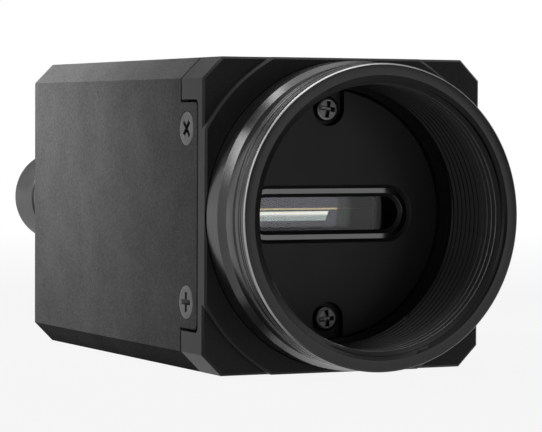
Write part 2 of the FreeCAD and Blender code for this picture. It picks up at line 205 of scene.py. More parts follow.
def trackLoop(length, height, straight=24, bend=24):
    # outline of a slot: two straight runs and two half circles, as (x, z) points about the origin
    radius = height / 2
    reach = length / 2 - radius
    turn = np.linspace(-np.pi / 2, np.pi / 2, bend, endpoint=False)
    run = np.linspace(reach, -reach, straight, endpoint=False)
    half = np.concatenate([np.stack([reach + radius * np.cos(turn), radius * np.sin(turn)], -1),
                           np.stack([run, radius + 0 * run], -1)])
    return np.concatenate([half, -half])


def stackLoops(rows, x=0.0, z=0.0):
    # loops of (x, z) points about the line along Y through (x, z), each at its own y, as one grid
    return np.stack([np.stack([x + loop[:, 0], 0 * loop[:, 0] + y, z + loop[:, 1]], -1) for loop, y in rows])


def crossRadius(angle, reach, half):
    # distance from the centre of a plus sign to its outline: the end of an arm, or else an arm's flank
    c = np.abs(np.cos(angle))
    s = np.abs(np.sin(angle))
    wide = np.maximum(c, s)
    thin = np.minimum(c, s)
    return np.where(thin * reach <= wide * half, reach / wide, half / np.maximum(thin, 1e-9))


def crossAngles(reach, half, columns=64):
    # even angles with the corners of the plus sign added
    corner = math.atan2(half, reach)
    quarter = np.arange(4)[:, None] * np.pi / 2
    corners = (quarter + np.array([-corner, corner, np.pi / 4])).ravel() % (2 * np.pi)
    return np.unique(np.round(np.concatenate([np.arange(columns) * 2 * np.pi / columns, corners]), 5))


recess = {"flare": 1.10, "lip": 1.02, "lipDepth": 0.03, "wallDepth": 0.08, "taper": 0.72, "point": 0.05}


def screwPoints(side, cross, spin):
    # side profile (radius, height) turned about the axis, closed at the foot, and in the top a plus-shaped
    # recess: rows of the plus sign that shrink on the way down and end in a point
    angle = crossAngles(cross["reach"], cross["half"])
    even = np.ones_like(angle)
    plus = crossRadius(angle, cross["reach"], cross["half"])
    top = side[-1, 1]
    foot = top - cross["depth"]
    rows = [(radius * even, height) for radius, height in side]
    rows += [(plus * recess["flare"], top), (plus * recess["lip"], top - recess["lipDepth"]),
             (plus, top - recess["wallDepth"]), (plus * recess["taper"], foot),
             (plus * 0.0, foot - recess["point"])]
    spun = angle + math.radians(spin)
    return np.stack([np.stack([r * np.cos(spun), r * np.sin(spun), 0 * angle + h], -1) for r, h in rows])


def stand(points, place, outward):
    # points built upright are turned so that their top faces outward, then moved to place
    axis = np.array(outward, float)
    side = np.array([0, 0, 1.0]) if abs(axis[2]) < 0.5 else np.array([1.0, 0, 0])
    across = np.cross(side, axis)
    return points @ np.stack([across, side, axis]) + np.array(place, float)


class Wire:
    # an output socket; arithmetic on wires adds Math nodes
    def __init__(self, shading, socket):
        self.shading = shading
        self.socket = socket

    def calc(self, operation, first, second):
        return self.shading.add("Math", {"operation": operation}, {0: first, 1: second})

    def __add__(self, other):
        return self.calc("ADD", self, other)

    __radd__ = __add__

    def __sub__(self, other):
        return self.calc("SUBTRACT", self, other)

    def __rsub__(self, other):
        return self.calc("SUBTRACT", other, self)

    def __mul__(self, other):
        return self.calc("MULTIPLY", self, other)

    __rmul__ = __mul__

    def __truediv__(self, other):
        return self.calc("DIVIDE", self, other)

    def __rtruediv__(self, other):
        return self.calc("DIVIDE", other, self)

    def __pow__(self, other):
        return self.calc("POWER", self, other)

    def __or__(self, other):
        return self.calc("MAXIMUM", self, other)

    __ror__ = __or__

    def __gt__(self, other):
        return self.calc("GREATER_THAN", self, other)

    def __lt__(self, other):
        return self.calc("LESS_THAN", self, other)


class Shading:
    # a node tree; every node but the ones it starts with comes from add
    def __init__(self, tree):
        self.tree = tree

    def plug(self, socket, value):
        if isinstance(value, Wire):
            self.tree.links.new(value.socket, socket)
        else:
            socket.default_value = value

    def add(self, kind, settings=None, inputs=None, output=0):
        node = self.tree.nodes.new("ShaderNode" + kind)
        for key, value in (settings or {}).items():
            if key == "stops":
                ramp = node.color_ramp.elements
                for index, (position, colour) in enumerate(value):
                    stop = ramp[index] if index < 2 else ramp.new(position)
                    stop.position = position
                    stop.color = (*colour, 1)
            else:
                setattr(node, key, value)
        for key, value in (inputs or {}).items():
            self.plug(node.inputs[key], value)
        return Wire(self, node.outputs[output])


class Finish(Shading):
    # one material: a Principled shader with the fixed values of its look, and what varies over the surface
    sockets = {"roughness": "Roughness", "metallic": "Metallic", "specular": "Specular IOR Level",
               "sheen": "Specular Tint", "coat": "Coat Weight", "coatRoughness": "Coat Roughness",
               "ior": "IOR", "transmission": "Transmission Weight"}

    def __init__(self, name, look):
        self.look = look
        self.material = bpy.data.materials.new(name)
        self.material.use_nodes = True
        super().__init__(self.material.node_tree)
        self.shader = self.tree.nodes["Principled BSDF"]
        self.put("Base Color", (*look["tone"], 1))
        for key, socket in self.sockets.items():
            if key in look:
                self.put(socket, look[key])
        self.place = self.add("TexCoord", output="Object")

    def put(self, name, value):
        self.plug(self.shader.inputs[name], value)

    def axis(self, letter):
        # a coordinate in millimetres
        return self.add("SeparateXYZ", inputs={0: self.place}, output="XYZ".index(letter)) / mm

    def radius(self, axisZ):
        # distance in millimetres from the line along Y at the height axisZ
        x = self.axis("X")
        z = self.axis("Z") - axisZ
        return (x * x + z * z) ** 0.5

    def distance(self, first, second):
        # how far apart two numbers are
        return self.add("Math", {"operation": "ABSOLUTE"}, {0: first - second})

    def scaled(self, size, stretch=(1, 1, 1)):
        # the place on the piece, in units of size millimetres
        scale = Vector(stretch) / (size * mm)
        return self.add("Mapping", inputs={"Vector": self.place, "Scale": scale})

    def noise(self, size, detail=3.0, stretch=(1, 1, 1), rough=0.55):
        # fractal noise whose blotches are about size millimetres, longer where stretch is smaller
        return self.add("TexNoise", inputs={"Vector": self.scaled(size, stretch), "Scale": 1.0,
                                            "Detail": detail, "Roughness": rough})

    def remap(self, value, low, high):
        # 0 at low, 1 at high and a smooth step between them
        return self.add("MapRange", {"interpolation_type": "SMOOTHSTEP"}, {0: value, 1: low, 2: high})

    def colour(self, fine, cloud):
        # from tone to pale: share of the fine noise and the rest of the slow one, spread about a half
        share = self.look["share"]
        spread = self.look["spread"]
        blotches = self.remap(fine * share + cloud * (1 - share), 0.5 - spread, 0.5 + spread)
        return self.mix(blotches, self.look["tone"], self.look["pale"])

    def around(self, middle, wave, swing):
        # middle, and up to half the swing above or below it as the noise goes
        return wave * swing + (middle - swing / 2)

    def mix(self, factor, first, second):
        # colours blended, the factor 0 giving the first
        ends = [end if isinstance(end, Wire) else (*end, 1) for end in (first, second)]
        return self.add("Mix", {"data_type": "RGBA"}, {0: factor, 6: ends[0], 7: ends[1]}, output=2)

    def relief(self, height, depth):
        # bumps, depth millimetres high
        bump = self.add("Bump", inputs={"Strength": 1.0, "Distance": depth * mm, "Height": height})
        self.put("Normal", bump)


def grey(value):
    return (value, value, value)


soft = {"detail": 2, "stretch": (1, 1, 1), "cloud": 2.0, "share": 0.4, "spread": 0.2, "swing": 0.1}
hard = {**soft, "metallic": 1.0, "detail": 3, "cloud": 1.6, "share": 0.5, "swing": 0.14}
grained = {
    "anodisedBlack": {**soft, "tone": (0.018, 0.018, 0.0185), "pale": (0.029, 0.029, 0.0295),
                      "roughness": 0.43, "swing": 0.12, "specular": 0.17, "grain": 0.10, "cloud": 4.0,
                      "share": 0.7, "spread": 0.15, "relief": 0.004},
    "screwSteel": {**hard, "tone": grey(0.072), "pale": grey(0.11), "roughness": 0.39, "grain": 0.12,
                   "relief": 0.003},
    "blackScrewSteel": {**hard, "tone": grey(0.12), "pale": grey(0.18), "roughness": 0.37, "grain": 0.12,
                        "relief": 0.003},
    "innerSteel": {**hard, "tone": (0.45, 0.44, 0.42), "pale": (0.55, 0.54, 0.52), "roughness": 0.31,
                   "grain": 0.2, "relief": 0.003},
    "connectorNickel": {**hard, "tone": (0.50, 0.49, 0.47), "pale": (0.60, 0.59, 0.57), "roughness": 0.27,
                        "grain": 0.15, "relief": 0.002, "stretch": (1, 0.05, 1)},
    "contactGold": {**hard, "tone": (0.72, 0.50, 0.20), "pale": (0.82, 0.60, 0.28), "roughness": 0.23,
                    "grain": 0.1, "relief": 0.001},
    "milledAluminium": {**hard, "tone": grey(0.55), "pale": grey(0.66), "roughness": 0.36, "grain": 0.08,
                        "relief": 0.004, "stretch": (0.02, 1, 1)},
    "connectorBlack": {**soft, "tone": (0.022, 0.022, 0.023), "pale": (0.035, 0.035, 0.036),
                       "roughness": 0.4, "grain": 0.1, "relief": 0.003, "specular": 0.3},
    "sensorCeramic": {**soft, "tone": (0.035, 0.033, 0.034), "pale": (0.05, 0.047, 0.048),
                      "roughness": 0.45, "grain": 0.06, "relief": 0.003},
    "chipPlastic": {**soft, "tone": (0.018, 0.018, 0.019), "pale": (0.03, 0.03, 0.031),
                    "roughness": 0.55, "grain": 0.05, "relief": 0.004},
    "connectorPlastic": {**soft, "tone": grey(0.014), "pale": grey(0.024), "roughness": 0.42,
                         "grain": 0.08, "relief": 0.003},
    "sealRubber": {**soft, "tone": grey(0.012), "pale": grey(0.02), "roughness": 0.7, "grain": 0.15,
                   "relief": 0.006},
    "padSilicone": {**soft, "tone": (0.20, 0.24, 0.32), "pale": (0.27, 0.31, 0.39), "roughness": 0.6,
                    "grain": 0.1, "relief": 0.006},
    "lightPlastic": {**soft, "tone": (0.55, 0.62, 0.52), "pale": (0.68, 0.74, 0.64), "roughness": 0.28,
                     "grain": 0.3, "relief": 0.002, "coat": 0.3, "coatRoughness": 0.1},
}


def grainedFinish(name, look):
    # anodised, bare or moulded: an even grain, or drawn lines where stretch is uneven, slightly cloudy in
    # tone and gloss
    finish = Finish(name, look)
    grain = finish.noise(look["grain"], look["detail"], look["stretch"])
    cloud = finish.noise(look["cloud"])
    finish.put("Base Color", finish.colour(grain, cloud))
    finish.put("Roughness", finish.around(look["roughness"], cloud, look["swing"]))
    finish.relief(grain, look["relief"])
    return finish.material


# the bare colour and the keys after it paint a highlight on the upper left of the rim's chamfer
turnedBlack = {"tone": (0.012, 0.012, 0.0123), "pale": (0.023, 0.023, 0.0232), "share": 0.6, "spread": 0.15,
               "roughness": 0.25, "lineSwing": 0.08, "cloudSwing": 0.06, "specular": 0.42, "line": 0.05,
               "stretch": (0.004, 1, 0.004), "cloud": 3.0, "relief": 0.0016, "bareAndGlint": grey(0.32),
               "bareAndGlintLeast": 0.7, "bareAndGlintSwing": 0.5, "edge": 14.05, "edgeDepth": 0.17, "lean": 0.6,
               "glintSideFrom": -2.0, "glintSideTo": 8.0}


def turnedFinish(rimY, axisZ):
    # lathe-turned and anodised: fine circular tool lines, noise that varies along Y and with the radius;
    # the rim's outer chamfer turns to pale bare metal only on its upper left, a painted highlight where the
    # light falls on it, partly rubbed wear: glint = (beyond the chamfer's inner edge) * (within its depth) *
    # (up and to the left) * slow noise
    finish = Finish("turnedBlack", turnedBlack)
    lines = finish.noise(turnedBlack["line"], 2, turnedBlack["stretch"])
    cloud = finish.noise(turnedBlack["cloud"])
    beyond = finish.radius(axisZ) > turnedBlack["edge"]
    within = finish.axis("Y") - rimY < turnedBlack["edgeDepth"]
    # painted highlight: the chamfer is made pale metal only towards the upper left, where the light falls
    towardsLight = (finish.axis("Z") - axisZ) * turnedBlack["lean"] - finish.axis("X")
    paintedGlintSide = finish.remap(towardsLight, turnedBlack["glintSideFrom"], turnedBlack["glintSideTo"])
    bareAndGlint = beyond * within * paintedGlintSide * (turnedBlack["bareAndGlintLeast"] + cloud * turnedBlack["bareAndGlintSwing"])
    finish.put("Base Color", finish.mix(bareAndGlint, finish.colour(lines, cloud), turnedBlack["bareAndGlint"]))
    finish.put("Metallic", bareAndGlint)
    dull = finish.around(turnedBlack["roughness"], lines, turnedBlack["lineSwing"])
    finish.put("Roughness", dull + finish.around(0.0, cloud, turnedBlack["cloudSwing"]))
    finish.relief(lines, turnedBlack["relief"])
    return finish.material


threadBlack = {"tone": grey(0.006), "bright": grey(0.50), "roughness": 0.30, "swing": 0.10, "haze": 0.3,
               "specular": 0.14, "soft": 0.035, "wearAndGlintLevel": 0.75, "shadeFadeFrom": 0.6, "shadeFadeDepth": 4.5,
               "patch": 0.9, "patchLeast": 0.55, "patchSwing": 0.9}


def threadFinish(mouthY, axisZ, crestRadius):
    # black thread, its crests paler metal, partly rubbed by lenses screwed in and partly a painted glint,
    # less so with depth, a painted shade into the bore: wear and glint = (radius within soft of the crest) *
    # (1 near the mouth, 0 at the shade depth) * slow noise * level
    finish = Finish("threadBlack", threadBlack)
    depth = finish.axis("Y") - mouthY
    # painted glint on the crests, partly wear; it fades with depth as painted shade into the bore
    crest = finish.remap(finish.radius(axisZ), crestRadius + threadBlack["soft"], crestRadius)
    fade = finish.remap(depth, threadBlack["shadeFadeDepth"], threadBlack["shadeFadeFrom"])
    patches = threadBlack["patchLeast"] + finish.noise(threadBlack["patch"]) * threadBlack["patchSwing"]
    wearAndGlint = crest * fade * patches * threadBlack["wearAndGlintLevel"]
    finish.put("Base Color", finish.mix(wearAndGlint, threadBlack["tone"], threadBlack["bright"]))
    finish.put("Metallic", wearAndGlint)
    haze = finish.noise(threadBlack["haze"], 2)
    finish.put("Roughness", finish.around(threadBlack["roughness"], haze, threadBlack["swing"]))
    return finish.material


housingPaint = {"tone": grey(0.072), "pale": (0.125, 0.125, 0.124), "share": 0.8, "spread": 0.16,
                "roughness": 0.60, "swing": 0.12, "specular": 0.0, "grain": 0.22, "grainShare": 0.65,
                "fine": 0.077, "cloud": 5.0, "relief": 0.02}


def housingFinish():
    # fine-textured matt paint: small soft bumps, each slightly paler on top, over a slow change of tone
    finish = Finish("housingPaint", housingPaint)
    coarse = finish.noise(housingPaint["grain"], 3, rough=0.6)
    fine = finish.noise(housingPaint["fine"], 2)
    bumps = coarse * housingPaint["grainShare"] + fine * (1 - housingPaint["grainShare"])
    cloud = finish.noise(housingPaint["cloud"], 2)
    finish.put("Base Color", finish.colour(bumps, cloud))
    finish.put("Roughness", finish.around(housingPaint["roughness"], cloud, housingPaint["swing"]))
    finish.relief(bumps, housingPaint["relief"])
    return finish.material


plateBlack = {"tone": (0.0075, 0.0075, 0.0078), "pale": (0.0135, 0.0135, 0.0138), "share": 0.6,
              "spread": 0.15, "roughness": 0.55, "swing": 0.10, "specular": 0.50, "coatRoughness": 0.08,
              "grain": 0.08, "cloud": 3.0, "relief": 0.003, "ledgeRoughness": 0.08, "ledgeHalf": 0.012}


def plateFinish(ledgeY):
    # dull black anodising with a very fine grain; the ledge round the aperture, a thin layer about ledgeY,
    # is burnished smooth and has a clear coat
    finish = Finish("plateBlack", plateBlack)
    grain = finish.noise(plateBlack["grain"], 2)
    cloud = finish.noise(plateBlack["cloud"], 2)
    ledge = finish.distance(finish.axis("Y"), ledgeY) < plateBlack["ledgeHalf"]
    finish.put("Base Color", finish.colour(grain, cloud))
    dull = finish.around(plateBlack["roughness"], cloud, plateBlack["swing"])
    finish.put("Roughness", dull * (1 - ledge) + ledge * plateBlack["ledgeRoughness"])
    finish.put("Coat Weight", ledge)
    finish.relief(grain * (1 - ledge), plateBlack["relief"])
    return finish.material


boardGreen = {"tone": (0.006, 0.055, 0.018), "pale": (0.014, 0.10, 0.034), "trace": 0.9, "uneven": 0.35,
              "bandFrom": 0.05, "bandTo": 0.16, "roughness": 0.32, "swing": 0.10, "cloud": 1.0,
              "relief": 0.02}


def boardFinish():
    # solder mask over copper: paler patches inside the edges of a fairly even cell pattern
    finish = Finish("boardGreen", boardGreen)
    place = finish.scaled(boardGreen["trace"])
    cell = finish.add("TexVoronoi", {"feature": "DISTANCE_TO_EDGE", "distance": "EUCLIDEAN"},
                      {"Vector": place, "Scale": 1.0, "Randomness": boardGreen["uneven"]}, output="Distance")
    trace = finish.remap(cell, boardGreen["bandFrom"], boardGreen["bandTo"])
    finish.put("Base Color", finish.mix(trace, boardGreen["tone"], boardGreen["pale"]))
    cloud = finish.noise(boardGreen["cloud"], 2)
    finish.put("Roughness", finish.around(boardGreen["roughness"], cloud, boardGreen["swing"]))
    finish.relief(trace, boardGreen["relief"])
    return finish.material


sensorDie = {"tone": (0.020, 0.018, 0.026), "blue": (0.016, 0.016, 0.028), "blueFrom": 0.5, "blueTo": 6.0,
             "stripe": (0.012, 0.011, 0.016), "column": 0.35, "columnStretch": (1, 0.01, 0.01),
             "columnFrom": 0.3, "columnTo": 0.7, "stripeShare": 0.25, "gold": (0.42, 0.34, 0.19),
             "goldMetal": 0.8, "line": 0.30, "lineHalf": 0.085, "roughness": 0.02, "specular": 0.5,
             "sheen": (0.84, 0.76, 1.0, 1.0),
             # painted reflection: a banded metal strip with a slanted end, where a strip of light is
             # mirrored
             "reflectionStripLow": -0.87, "reflectionStripHigh": 0.06, "reflectionStripEnd": 2.95, "reflectionStripSlant": 0.35,
             "reflectionStrip": ((0.00, (0.10, 0.12, 0.11)), (0.10, (0.24, 0.27, 0.26)), (0.42, (0.22, 0.25, 0.24)),
                        (0.62, (0.42, 0.42, 0.40)), (0.74, (0.70, 0.68, 0.62)), (0.95, (0.62, 0.60, 0.54)))}


def dieFinish(axisZ):
    # polished silicon: dark purple-grey turning darker and bluer towards +X, a painted shade where its
    # reflection falls away, one thin gold line, and under it a metal strip in bands of different grey that
    # ends in a slanted edge, a painted reflection of a strip of light, drawn as an aluminium light shield
    finish = Finish("sensorDie", sensorDie)
    height = finish.axis("Z") - axisZ
    along = finish.axis("X")
    line = finish.distance(height, sensorDie["line"]) < sensorDie["lineHalf"]
    # painted reflection: a banded metal strip with a slanted end stands for a strip of light on the die
    level = (height - sensorDie["reflectionStripLow"]) / (sensorDie["reflectionStripHigh"] - sensorDie["reflectionStripLow"])
    beforeEnd = along - height * sensorDie["reflectionStripSlant"] < sensorDie["reflectionStripEnd"]
    reflectionStrip = (level > 0.0) * (level < 1.0) * beforeEnd
    bands = finish.add("ValToRGB", {"stops": sensorDie["reflectionStrip"]}, {0: level})
    # painted shade: darker and bluer towards +X, where the reflection on the die falls away
    paintedShadeBluer = finish.remap(along, sensorDie["blueFrom"], sensorDie["blueTo"])
    base = finish.mix(paintedShadeBluer, sensorDie["tone"], sensorDie["blue"])
    columns = finish.noise(sensorDie["column"], 1, sensorDie["columnStretch"])
    columns = finish.remap(columns, sensorDie["columnFrom"], sensorDie["columnTo"])
    striped = finish.mix(columns * sensorDie["stripeShare"], base, sensorDie["stripe"])
    finish.put("Base Color", finish.mix(line, finish.mix(reflectionStrip, striped, bands), sensorDie["gold"]))
    finish.put("Metallic", reflectionStrip + line * sensorDie["goldMetal"])
    return finish.material


clear = {"roughness": 0.001, "ior": 1.26, "transmission": 1.0, "cloud": 2.5}
glassLooks = {"windowGlass": {**clear, "tone": (0.93, 0.95, 0.94)},
              "sensorCoverGlass": {**clear, "tone": (0.95, 0.95, 0.96)}}


def glassFinish(name, look):
    # clear glass with a trace of haze; its index is low because its coating takes most of the reflection
    finish = Finish(name, look)
    half = look["roughness"] / 2
    finish.put("Roughness", half + finish.noise(look["cloud"]) * half)
    return finish.material


finishes = {name: grainedFinish(name, look) for name, look in grained.items()}
finishes.update({name: glassFinish(name, look) for name, look in glassLooks.items()})
print("finishes made")


frontLow, frontHigh = nodeBox("front_frame")
rimY = frontLow[1]
axisZ = (frontLow[2] + frontHigh[2]) / 2
ring = {"radius": 14.2, "base": 14.5, "inner": 13.0, "back": 10.7, "bossFace": 7.5, "coneBack": 5.05,
        "coneFront": 3.85, "step": 0.06, "rimChamfer": 0.13, "corner": 0.06,
        "grooves": ((2.02, 0.34, 0.12), (1.08, 0.11, 0.07), (0.68, 0.10, 0.06)), "grooveFlat": 0.45,
        "mouth": 13.1, "lip": 0.02, "relief": 12.75, "columns": 288}
block = {"edge": 0.06, "near": 0.01, "around": 0.1}


def belongsToRing(points):
    # faces of the mount ring: in front of the boss face, or on the thread and relief walls behind it
    near = block["near"]
    depth = points[:, 1] - rimY
    radius = np.hypot(points[:, 0], points[:, 2] - axisZ)
    inFront = depth.min() < ring["bossFace"] - near and radius.max() < ring["base"] + block["around"]
    inside = radius.max() < ring["relief"] + 2 * near and depth.max() < ring["back"] + near
    relief = inside and depth.mean() < ring["back"] - near
    return inFront or relief


frontBlock = showPiece("frontBlock", cleanMesh("front_frame", belongsToRing))
bevelEdges(frontBlock, block["edge"])
finishPiece(frontBlock, finishes["anodisedBlack"], "front_metal", "front_frame")
print("front block made")


thread = {"crest": 12.3, "root": 12.73, "pitch": 0.79375, "flankAngle": 30, "crestShare": 0.62,
          "crestRounding": ((0.0, 0.025), (0.018, 0.007), (0.05, 0.0)), "rootOut": 0.01, "rootIn": 0.02,
          "end": 9.7, "leadIn": 0.6, "runOut": 1.6}


def ringOutside():
    # outer section: thread relief, back, base band, long cone with a small step, three grooves and the rim
    r = ring["radius"]
    points = [(ring["relief"], thread["end"]), (ring["relief"], ring["back"]), (ring["inner"], ring["back"]),
              (ring["inner"], ring["bossFace"]), (ring["base"], ring["bossFace"]),
              (ring["base"], ring["coneBack"]), (r - ring["step"], ring["coneFront"]),
              (r, ring["coneFront"] - ring["step"])]
    for centre, half, depth in ring["grooves"]:
        flat = half * ring["grooveFlat"]
        points += [(r, centre + half), (r - depth, centre + flat), (r - depth, centre - flat),
                   (r, centre - half)]
    points += [(r, ring["rimChamfer"]), (r - ring["rimChamfer"], 0), (ring["mouth"], 0),
               (ring["mouth"] - ring["lip"], ring["lip"])]
    profile = softCorners(points, ring["corner"])
    profile[:, 1] += rimY
    return turned(profile, 0, axisZ, ring["columns"])


def threadRows():
    # one pitch of a sixty-degree thread as (distance along the axis, cut below the crest), its corners
    # slightly rounded; the flank back up to the next crest lies between two pitches
    cut = thread["root"] - thread["crest"]
    flank = cut * math.tan(math.radians(thread["flankAngle"]))
    flat = thread["pitch"] - 2 * flank
    crest = flat * thread["crestShare"]
    foot = crest + flank
    end = foot + (flat - crest)
    beyond = thread["rootOut"]
    soft = thread["rootIn"]
    rows = list(thread["crestRounding"])
    rows += [(crest - along, low) for along, low in reversed(thread["crestRounding"])]
    rows += [(foot - beyond, cut - soft), (foot + soft, cut), (end - soft, cut), (end + beyond, cut - soft)]
    return np.array(rows)


def ringThread():
    # the thread's rows follow a helix: y = row + pitch * turn, held between the mouth and the thread's end;
    # the radius is the largest of the thread, the mouth's cone and the run-out cone
    one = threadRows()
    pitch = thread["pitch"]
    lip = ring["lip"]
    end = thread["end"]
    turns = math.ceil(end / pitch) + 2
    along = (one[:, 0] + pitch * np.arange(-1, turns)[:, None]).ravel()
    cut = np.tile(one[:, 1], turns + 1)
    turn = np.linspace(0, 1, ring["columns"] + 1)
    depth = np.clip(along[:, None] + pitch * turn, lip, end)
    mouth = ring["mouth"] - (ring["mouth"] - thread["crest"]) * depth / thread["leadIn"]
    runOut = ring["relief"] - (end - depth) * thread["runOut"]
    radius = np.maximum(thread["crest"] + cut[:, None], np.maximum(mouth, runOut))
    radius = np.where(depth <= lip + 0.0001, ring["mouth"] - lip, radius)
    radius = np.where(depth >= end - 1e-6, ring["relief"], radius)
    return roundY(radius, rimY + depth, 2 * np.pi * turn, 0, axisZ)


outside = ringOutside()
outside = np.concatenate([outside, outside[:, :1]], 1)
mountRing = makePiece("mountRing", [outside, ringThread()], closed=False)
finishPiece(mountRing, turnedFinish(rimY, axisZ), "front_metal", "front_frame")
mountRing.data.materials.append(threadFinish(rimY, axisZ, thread["crest"]))
middles = np.array([face.center for face in mountRing.data.polygons]) / mm
reach = np.hypot(middles[:, 0], middles[:, 2] - axisZ)
inThread = (reach < ring["mouth"] - ring["lip"] / 4) & (middles[:, 1] < rimY + thread["end"])
mountRing.data.polygons.foreach_set("material_index", inThread.astype(np.int32))
print("mount ring made")


housing = {"edge": 0.11}
housingShell = showPiece("housingShell", cleanMesh("housing"))
bevelEdges(housingShell, housing["edge"])
finishPiece(housingShell, housingFinish(), "housing_metal", "housing")
print("housing made")


cross = {"reach": 0.92, "half": 0.23, "depth": 0.55}
panCross = {"reach": 0.74, "half": 0.20, "depth": 0.45}
flatScrew = {"head": 1.6, "shank": 0.95, "length": 4.2, "rearLength": 4.4, "edge": 0.05, "bend": 0.3,
             "neck": 0.02, "rim": 0.03, "rimTaper": 0.01, "flat": 0.8}
panScrew = {"head": 1.18, "height": 0.75, "shank": 0.7, "length": 2.5, "crown": 0.28, "drop": 0.03,
            "flat": 0.74}
tip = {"length": 0.2, "share": 0.8}
spins = {"left": (0, 45), "right": (20, 0), "plate": (4, -8), "rear": (0, 30)}


def shankFoot(shank, length):
    # a shank's flat end with a short cone
    return [(0, -length), (shank * tip["share"], -length), (shank, -length + tip["length"])]


def flatSide(length):
    # countersunk head: shank, cone, narrow rim and a softened top edge
    r = flatScrew["head"]
    s = flatScrew["shank"]
    e = flatScrew["edge"]
    bend = e * flatScrew["bend"]
    rim = [(s, s - r - flatScrew["neck"]), (r - flatScrew["rimTaper"], -flatScrew["rim"] - e), (r, -e)]
    return np.array(shankFoot(s, length) + rim + [(r - bend, -bend), (r - e, 0), (r * flatScrew["flat"], 0)])


def panSide():
    # low head: straight flank, rounded shoulder and a slightly domed top
    r = panScrew["head"]
    s = panScrew["shank"]
    h = panScrew["height"]
    c = panScrew["crown"]
    bend = np.linspace(0, np.pi / 2, 7)
    shoulder = np.stack([r - c + c * np.cos(bend), h - c + (c - panScrew["drop"]) * np.sin(bend)], -1)
    foot = shankFoot(s, panScrew["length"]) + [(s, 0), (r, 0)]
    return np.concatenate([foot, shoulder, [(r * panScrew["flat"], h)]])


def seats(name):
    # centres of a node's two screw heads: its box gives the outer edge, the head's radius the rest
    low, high = nodeBox(name)
    return low + flatScrew["head"], high - flatScrew["head"]


screwLow, screwHigh = seats("side_screws_left")
sideX = nodeBox("housing")[1][0]
for side, word in ((-1, "left"), (1, "right")):
    outline = flatSide(flatScrew["length"])
    grids = [stand(screwPoints(outline, cross, spin), (side * sideX, screwLow[1], z), (side, 0, 0))
             for z, spin in zip((screwLow[2], screwHigh[2]), spins[word])]
    screws = makePiece("sideScrews" + word.capitalize(), grids)
    finishPiece(screws, finishes["screwSteel"], "screw_steel", "side_screws_" + word)

plateScrewLow, plateScrewHigh = nodeBox("window_plate_screws")
plateSeatY = plateScrewLow[1] + panScrew["height"]
plateScrewZ = (plateScrewLow[2] + panScrew["head"], plateScrewHigh[2] - panScrew["head"])
grids = [stand(screwPoints(panSide(), panCross, spin), (0, plateSeatY, z), (0, -1, 0))
         for z, spin in zip(plateScrewZ, spins["plate"])]
plateScrews = makePiece("windowPlateScrews", grids)
finishPiece(plateScrews, finishes["blackScrewSteel"], "screw_steel", "window_plate_screws")

rearLow, rearHigh = seats("rear_cover_screws")
rearFace = nodeBox("rear_cover_screws")[1][1]
outline = flatSide(flatScrew["rearLength"])
grids = [stand(screwPoints(outline, cross, spin), (x, rearFace, z), (0, 1, 0))
         for x, z, spin in zip((rearLow[0], rearHigh[0]), (rearHigh[2], rearLow[2]), spins["rear"])]
rearScrews = makePiece("rearCoverScrews", grids)
finishPiece(rearScrews, finishes["screwSteel"], "screw_steel", "rear_cover_screws")
print("screws made")


plateLow, plateHigh = nodeBox("window_plate")
glassLow, glassHigh = nodeBox("window_glass")
glassLength = glassHigh[0] - glassLow[0]
glassHeight = glassHigh[2] - glassLow[2]
plate = {"edge": 0.18, "edgeBend": 0.3, "land": 0.9, "mouthStep": 1.05, "mouthDepth": 0.4, "bevel": 0.35,
         "lip": 0.22, "soft": 0.03, "play": 0.05}


def plateSurface():
    # loops between the slot's outline and the plate's round edge: back, rounded rim, front face, sloped
    # mouth, ledge, bevel, aperture, and the pocket behind it that holds the glass
    front = plateLow[1]
    back = plateHigh[1]
    ledge = front + plate["mouthDepth"]
    seat = glassLow[1]
    slot = -2 * plate["land"]
    mouth = slot + 2 * plate["mouthStep"]
    foot = mouth - 2 * plate["lip"]
    bevel = slot + 2 * plate["bevel"]
    bevelBack = ledge + plate["bevel"]
    play = 2 * plate["play"]
    soft = plate["soft"]
    edge = plate["edge"]
    bend = edge * plate["edgeBend"]

    def track(extra):
        return trackLoop(glassLength + extra, glassHeight + extra)

    middle = track(mouth)
    ray = middle / np.linalg.norm(middle, axis=1)[:, None]
    radius = (plateHigh[0] - plateLow[0]) / 2
    rows = [(ray * radius, back), (ray * radius, front + edge), (ray * (radius - bend), front + bend),
            (ray * (radius - edge), front), (track(mouth + plate["lip"] + soft), front),
            (track(mouth + plate["lip"] - soft), front + soft / 2), (track(foot), ledge - soft),
            (track(foot - soft), ledge), (track(foot - 3 * soft), ledge), (track(bevel + 3 * soft), ledge),
            (track(bevel + soft), ledge), (track(bevel - soft), ledge + soft / 2),
            (track(slot + soft), bevelBack - soft), (track(slot), bevelBack + soft), (track(slot), seat),
            (track(play), seat), (track(play), back), (ray * radius, back)]
    return stackLoops(rows, z=axisZ)


pocket = {"width": 3.3, "reach": 4.0, "depth": 0.9, "above": 1.0,
          "rows": ((1.0, 0.12), (0.975, 0.03), (0.93, 0.0), (0.0, 0.0))}


def pocketSurface(side, z):
    # cutter of a screw's pocket: a slot with a round foot at the screw, open towards the plate's edge; its
    # rows are (share of the outline, height above the pocket's floor)
    half = pocket["width"] / 2
    bend = np.linspace(np.pi, 2 * np.pi, 25)
    arc = np.stack([half * np.cos(bend), half * np.sin(bend)], -1)
    outline = np.concatenate([[(-half, pocket["reach"])], arc, [(half, pocket["reach"])]]) * (1, side)
    start = plateLow[1] - pocket["above"]
    floorY = plateLow[1] + pocket["depth"]
    rows = [(outline * 0.0, start), (outline, start)]
    rows += [(outline * share, floorY - height) for share, height in pocket["rows"]]
    return stackLoops(rows, z=z)


